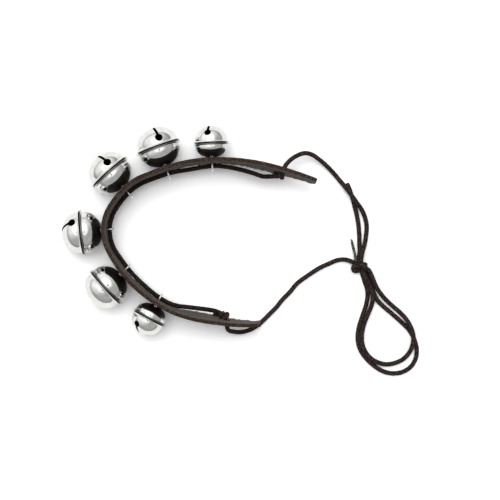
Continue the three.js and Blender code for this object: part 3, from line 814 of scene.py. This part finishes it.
# Bells
def dome(size, depth, polar, azimuth, inset=0.0):
    """Points of a cup at angles from its pole and round its axis: side, axial and upward places."""
    ring = (size["radius"] - inset) * np.sin(polar)
    axial = size["shoulder"] + (depth - size["shoulder"] - inset) * np.cos(polar)
    return np.stack([ring * np.sin(azimuth), axial + 0 * azimuth, ring * np.cos(azimuth)], axis=-1)


def dome_normals(size, depth, polar, azimuth):
    ring = np.sin(polar) / size["radius"]
    axial = np.cos(polar) / (depth - size["shoulder"])
    return unit(np.stack([ring * np.sin(azimuth), axial + 0 * azimuth, ring * np.cos(azimuth)], axis=-1))


def flat_map(polar, azimuth):
    return np.stack([polar * np.sin(azimuth), polar * np.cos(azimuth)], axis=-1)


def opening_outline(size, grow=0.0):
    """Slit and its two keyholes on the front cup, on the flat map of the dome."""
    rise = size["front"] - size["shoulder"]
    hole = size["keyhole"] + grow
    half = SLIT_HALF_WIDTH + grow
    polar = math.acos((size["rise"] - size["shoulder"]) / rise)
    meridian = math.hypot(size["radius"] * math.cos(polar), rise * math.sin(polar))
    mouth = math.asin(half / hole)
    turn = np.linspace(mouth, 2 * math.pi - mouth, KEYHOLE_POINTS)
    ring_polar = polar - hole * np.cos(turn) / meridian
    ring_azimuth = hole * np.sin(turn) / (size["radius"] * np.sin(ring_polar))
    reach = math.sqrt((size["radius"] * math.sin(ring_polar[0])) ** 2 - half**2)
    run = np.linspace(reach, -reach, SLIT_POINTS)[1:-1]
    edge_polar = np.arcsin(np.hypot(half, run) / size["radius"])
    edge_azimuth = np.arctan2(-half, run)
    half_turn = [flat_map(ring_polar, ring_azimuth), flat_map(edge_polar, edge_azimuth)]
    return np.vstack([*half_turn, -half_turn[0], -half_turn[1]])


def inside(points, outline):
    """Which points lie inside a closed outline."""
    a, b = outline, np.roll(outline, -1, axis=0)
    x, y = points[:, :1], points[:, 1:]
    spans = (a[:, 1] > y) != (b[:, 1] > y)
    climb = np.where(b[:, 1] == a[:, 1], 1e-12, b[:, 1] - a[:, 1])
    cross = a[:, 0] + (y - a[:, 1]) / climb * (b[:, 0] - a[:, 0])
    return (spans & (x < cross)).sum(axis=1) % 2 == 1


def front_triangles(size):
    """Flat map of the front cup, down to the first ring below its widest, with the opening left out."""
    lip = opening_outline(size, LIP)
    foot_angle = math.asin(size["shoulder"] / (size["front"] - size["shoulder"]))
    lowest = math.pi / 2 + foot_angle / (FOOT_ROWS - 1)
    rim = flat_map(np.full(BELL_SEGMENTS, lowest), turns(BELL_SEGMENTS))
    points = [lip, rim]
    clear = opening_outline(size, OPENING_MARGIN)
    for polar in np.linspace(0, lowest, CUP_RINGS)[1:-1]:
        count = max(LEAST_RING, round(BELL_SEGMENTS * math.sin(polar)))
        ring = flat_map(np.full(count, polar), turns(count))
        points.append(ring[~inside(ring, clear)])
    loops = []
    for start, count in ((0, len(lip)), (len(lip), len(rim))):
        loops += [(start + i, start + (i + 1) % count) for i in range(count)]
    flat = [Vector(p) for p in np.vstack(points)]
    places, _, triangles, origins, _, _ = delaunay_2d_cdt(flat, loops, [], 0, 1e-7)
    places = np.array([tuple(p) for p in places])
    triangles = np.array(triangles)
    middles = places[triangles].mean(axis=1)
    triangles = triangles[~inside(middles, lip)]
    order = {old: new for new, olds in enumerate(origins) for old in olds}
    lip_index = [order[i] for i in range(len(lip))]
    rim_index = [order[len(lip) + i] for i in range(len(rim))]
    return places, triangles, lip_index, rim_index


def arc(centre, radius, from_deg, to_deg, count):
    turn = np.radians(np.linspace(from_deg, to_deg, count))
    return np.column_stack([centre[0] + radius * np.cos(turn), centre[1] + radius * np.sin(turn)])


def cup_foot(size, depth, height):
    """Radius and height of the outer wall from its widest ring down to a height over the seam."""
    rise = depth - size["shoulder"]
    low = math.asin((size["shoulder"] - height) / rise)
    angles = np.linspace(0, low, FOOT_ROWS)
    return np.column_stack([size["radius"] * np.cos(angles), size["shoulder"] - rise * np.sin(angles)])


def inner_foot(size, depth, height):
    """The same of the inner wall."""
    thin = dict(size, radius=size["radius"] - SHEET)
    return cup_foot(thin, depth - SHEET, height)


def flange_section(size, depth, reach):
    """Section of a cup from its widest ring, swept out to a thin rim, to its widest ring inside."""
    wall = cup_foot(size, depth, 0.0)
    wall = wall[wall[:, 1] > size["shoulder"] * SWEEP_START]
    end = np.array((reach - RIM_THICKNESS / 2, RIM_TOP))
    corner = np.array((wall[-1, 0], RIM_TOP))
    t = np.linspace(0, 1, SWEEP_ROWS + 1)[1:, None]
    sweep = wall[-1] * (1 - t) ** 2 + 2 * corner * t * (1 - t) + end * t**2
    rim = arc(end - (0, RIM_THICKNESS / 2), RIM_THICKNESS / 2, 70, -90, RIM_ROWS)
    return np.vstack([wall, sweep, rim, inner_foot(size, depth, SEAM_HALF_GAP)[::-1]])


def back_section(size):
    """Section of the back cup from the shank hole round its flange to the inside, and each row's painted
    shade.
    """
    start = math.asin(SHANK_HOLE / size["radius"])
    angles = np.linspace(start, math.pi / 2, BACK_ROWS)
    outer = dome(size, size["back"], angles, np.zeros(len(angles)))[:, [2, 1]]
    inner = dome(size, size["back"], angles, np.zeros(len(angles)), SHEET)[:, [2, 1]]
    lip = outer[0] * 0.5 + inner[0] * 0.5 - (SHANK_HOLE_LIP, 0.0)
    flange = flange_section(size, size["back"], size["flange"] - BACK_FLANGE_INSET)
    section = np.vstack([lip, outer[:-1], flange, inner[-2::-1]])
    inside_from = len(outer) + len(flange) - FOOT_ROWS
    painted_shade_marks = np.zeros(len(section))
    # Painted shade: a share of it on the back flange's rim, all of it on the inside.
    painted_shade_marks[inside_from - RIM_ROWS:inside_from] = RIM_SHADE_SHARE
    painted_shade_marks[inside_from:] = 1
    return section * (1, -1), painted_shade_marks


def lathed(section, turned=0.0):
    """Points of a section spun round the bell's axis, from an angle on."""
    turn = turns(BELL_SEGMENTS) + turned
    radius, height = section[:, 0, None], section[:, 1, None]
    rings = np.stack([radius * np.sin(turn), height + 0 * turn, radius * np.cos(turn)], axis=-1)
    return rings.reshape(-1, 3)


def front_cup(size, slit):
    """Vertices, faces, normals of the outer dome and painted-shade marks of the inside of a front cup, in the
    bell's own frame.
    """
    places, triangles, lip, rim = front_triangles(size)
    polar = np.linalg.norm(places, axis=1)
    azimuth = np.arctan2(places[:, 0], places[:, 1]) + slit
    count = len(places)
    edge = opening_outline(size)
    edge_polar = np.linalg.norm(edge, axis=1)
    edge_azimuth = np.arctan2(edge[:, 0], edge[:, 1]) + slit
    wall = [dome(size, size["front"], edge_polar, edge_azimuth, inset) for inset in (LIP, SHEET - LIP)]
    # The dome's own lowest rings, outside and inside, take the place of the section's first and last two rows
    foot = lathed(flange_section(size, size["front"], size["flange"])[2:-2], slit)
    vertices = np.vstack([
        dome(size, size["front"], polar, azimuth),
        dome(size, size["front"], polar, azimuth, SHEET),
        *wall,
        foot,
    ])
    edges = 2 * count + np.arange(2 * len(edge)).reshape(2, -1)
    lips = [lip, *edges, np.array(lip) + count]
    start = 2 * count + 2 * len(edge)
    rings = start + np.arange(len(foot)).reshape(-1, BELL_SEGMENTS)
    rims = [rim, *rings, np.array(rim) + count]
    faces = [*triangles[:, ::-1], *(triangles + count)]
    for loops in (lips, rims):
        for a, b in zip(loops[:-1], loops[1:]):
            faces += [*np.stack([b, np.roll(b, -1), np.roll(a, -1), a], axis=-1)]
    normals = np.zeros_like(vertices)
    normals[:count] = dome_normals(size, size["front"], polar, azimuth)
    # Painted shade on the inside, the walls of the opening and the inner foot.
    painted_shade_marks = np.zeros(len(vertices))
    painted_shade_marks[count:start] = 1
    painted_shade_marks[-(FOOT_ROWS - 2) * BELL_SEGMENTS:] = 1
    return vertices, faces, normals, painted_shade_marks


def wire_route(size):
    """From one foot inside the back cup round the loop to the other, as side, axial and upward places."""
    pole = STRAP_THICKNESS / 2 + DOME_GAP
    inner = {"radius": size["radius"] - SHEET, "rise": size["back"] - size["shoulder"] - SHEET}
    wall = size["shoulder"] + inner["rise"] * math.sqrt(1 - (FOOT_REACH / inner["radius"]) ** 2)
    foot = pole + size["back"] - wall + SEAT_GAP + WIRE_DIAMETER / 2
    middle = LOOP_HALF_WIDTH - LOOP_TIP
    diagonal = LOOP_HALF_WIDTH * math.sqrt(0.5)
    half = [
        (foot, FOOT_REACH), (foot, NECK_HALF_WIDTH + WIRE_DIAMETER * 0.75), (pole + SHEET, NECK_HALF_WIDTH),
        (pole - SHEET, NECK_HALF_WIDTH), (0.0, (NECK_HALF_WIDTH + LOOP_HALF_WIDTH) / 2),
        (middle, LOOP_HALF_WIDTH), (middle - diagonal, diagonal),
    ]
    both = [*half, (-LOOP_TIP, 0.0), *((y, -z) for y, z in half[::-1])]
    return np.array([(0.0, y, z) for y, z in both])


def pellet_shape(radius, seed):
    """A tumbled steel slug: a ball with soft flats, as vertices and faces."""
    polar = np.linspace(0, math.pi, PELLET_ROWS + 2)[1:-1, None]
    around = turns(PELLET_SIDES)[None, :]
    level = np.cos(polar) + 0 * around
    ball = np.stack([np.sin(polar) * np.cos(around), np.sin(polar) * np.sin(around), level], axis=-1)
    ball = np.vstack([[(0, 0, 1)], ball.reshape(-1, 3), [(0, 0, -1)]])
    flats = unit(np.random.default_rng(seed).normal(size=(PELLET_FLATS, 3)))
    height = (ball @ flats.T).max(axis=1, keepdims=True)
    ball *= FLAT_HEIGHT / np.maximum(height, FLAT_HEIGHT) * PELLET_SHARE
    this = np.arange(PELLET_SIDES)
    after = np.roll(this, -1)
    first, last, bottom = 1, 1 + (PELLET_ROWS - 1) * PELLET_SIDES, len(ball) - 1
    top_cap = np.stack([0 * this, first + this, first + after], axis=1)
    bottom_cap = np.stack([bottom + 0 * this, last + after, last + this], axis=1)
    return ball * radius, [*ring_faces(PELLET_ROWS, PELLET_SIDES, first)[:, ::-1], *top_cap, *bottom_cap]


def make_bell(number, bell, station):
    """One bell's front cup, back cup, wire loop and pellet."""
    size = bell["size"]
    name = f"bell_{number}"
    side, axis, up, origin = bell_frame(station, bell["yaw"])
    turn = np.stack([side, axis, up])
    flange = origin + axis * (STRAP_THICKNESS / 2 + DOME_GAP + size["back"])

    vertices, faces, normals, painted_shade_marks = front_cup(size, math.radians(bell["slit"]))
    front = new_piece(
        f"{name}_front_cup", flange + vertices @ turn, faces, materials["chrome"], name,
        (f"{name}_front_shell",),
    )
    front.data.normals_split_custom_set_from_vertices((normals @ turn).tolist())
    set_attribute(front.data, "inner", painted_shade_marks)

    section, painted_shade_marks = back_section(size)
    rings = lathed(section)
    quads = ring_faces(len(section) + 1, BELL_SEGMENTS) % len(rings)
    back = new_piece(
        f"{name}_back_cup", flange + rings @ turn, quads, materials["chrome"], name,
        (f"{name}_back_shell",),
    )
    set_attribute(back.data, "inner", np.repeat(painted_shade_marks, BELL_SEGMENTS))

    path = smooth_route(wire_route(size), WIRE_STEP)
    wire, wire_faces, _ = tube(origin + path @ turn, WIRE_DIAMETER / 2, WIRE_SIDES)
    new_piece(
        f"{name}_wire", wire, wire_faces, materials["wire"], f"{name}_shank",
        (f"{name}_wire_loop",),
    )

    low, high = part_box(f"{name}_pellet")
    slug, slug_faces = pellet_shape(size["pellet"], number)
    new_piece(
        f"{name}_slug", slug + np.array((low + high) / 2), slug_faces, materials["pellet"], f"{name}_pellet",
        (f"{name}_pellet",),
    )


# Table and light
def make_floor():
    """A white table, paler to the camera than in the light that it throws back."""
    material, tree = new_material("white_table")
    tree.nodes.remove(tree.nodes["Principled BSDF"])
    path = add_node(tree, "LightPath").outputs
    grain = noise(tree, 60, 3)
    white = ramp(tree, grain, ((0.3, (0.88, 0.88, 0.88)), (0.7, (0.90, 0.90, 0.90))))
    in_metal = mix_colour(tree, path["Is Glossy Ray"], (0.0, 0.0, 0.0, 1.0), (0.1, 0.1, 0.1, 1.0))
    shown = mix_colour(tree, path["Is Camera Ray"], in_metal, (0.34, 0.34, 0.34, 1.0))
    paper = add_node(tree, "BsdfDiffuse", {"Color": white})
    extra = add_node(tree, "BsdfDiffuse", {"Color": shown})
    both = add_node(tree, "AddShader", {0: paper.outputs[0], 1: extra.outputs[0]})
    tree.links.new(both.outputs[0], tree.nodes["Material Output"].inputs["Surface"])
    corners = np.array(((-1, -1), (1, -1), (1, 1), (-1, 1))) * TABLE_HALF_WIDTH
    mesh = plain_mesh("table", [(x, y, TABLE_HEIGHT) for x, y in corners], [(0, 1, 2, 3)])
    mesh.materials.append(material)
    floor = bpy.data.objects.new("table", mesh)
    scene.collection.objects.link(floor)


def facing(tree, direction, towards):
    """Cosine of the angle between a direction and a fixed one."""
    return add_node(tree, "VectorMath", {0: direction, 1: towards}, operation="DOT_PRODUCT").outputs["Value"]


def make_world():
    """A white room, dim low down, with a soft lamp high up; metal shows a white card and a dark lens too."""
    world = bpy.data.worlds.new("studio")
    world.use_nodes = True
    tree = world.node_tree
    direction = add_node(tree, "TexCoord").outputs["Generated"]
    places = add_node(tree, "SeparateXYZ", {0: direction}).outputs
    ahead = remap(tree, places["Y"], -0.6, 0.6, 0.46, 0.62)
    level = remap(tree, places["Z"], 0.0, 0.4, 0.62, 1.0)
    high = remap(tree, places["Z"], 0.05, 0.8, 0.25, 1.0)
    rise = remap(tree, facing(tree, direction, LAMP_DIRECTION), LAMP_EDGE, 1.0)
    lamp = math_node(tree, "MULTIPLY", math_node(tree, "MULTIPLY", rise, rise), LAMP_POWER)
    card = remap(tree, facing(tree, direction, CARD_DIRECTION), 0.2, 0.9, 0.47, 1.15)
    lens = remap(tree, places["Z"], *LENS_EDGE, 1.0, 0.1)
    light = math_node(tree, "ADD", math_node(tree, "MULTIPLY", ahead, high), lamp)
    lamp_seen = math_node(tree, "MULTIPLY", lamp, LAMP_IN_METAL)
    glint = math_node(tree, "ADD", math_node(tree, "MULTIPLY", card, level), lamp_seen)
    path = add_node(tree, "LightPath").outputs
    in_metal = mix_colour(tree, path["Is Glossy Ray"], light, math_node(tree, "MULTIPLY", glint, lens))
    shown = mix_colour(tree, path["Is Camera Ray"], in_metal, (1.0, 1.0, 1.0, 1.0))
    set_inputs(tree, tree.nodes["Background"], {"Color": shown, "Strength": 1.0})
    scene.world = world


make_camera()
materials = {
    # Cord colours: painted shade in the valleys, then dark and pale crowns, the pale partly a painted glint.
    "cord": cord_material(
        "waxed_cord", (0.006, 0.004, 0.0036), (0.016, 0.0107, 0.0095), (0.070, 0.048, 0.042),
    ),
    # A darker copy of the cord for the lacing: painted shade, as it lies in the strap's shadow.
    "shaded_lacing": cord_material(
        "lacing_cord_painted_shade", (0.0035, 0.0022, 0.0018), (0.0085, 0.0052, 0.0043), (0.040, 0.025, 0.021),
    ),
    "core": cord_material("cord_core", (0.016, 0.014, 0.013), (0.075, 0.070, 0.066), (0.20, 0.19, 0.18)),
    "leather": leather_material(),
    "chrome": chrome_material(),
    "wire": wire_material(),
    "pellet": pellet_material(),
}
make_cords()
make_strap()
for number, (bell, station) in enumerate(zip(BELLS, BELL_STATIONS), 1):
    make_bell(number, bell, station)
make_floor()
make_world()
scene.view_settings.view_transform = "Standard"
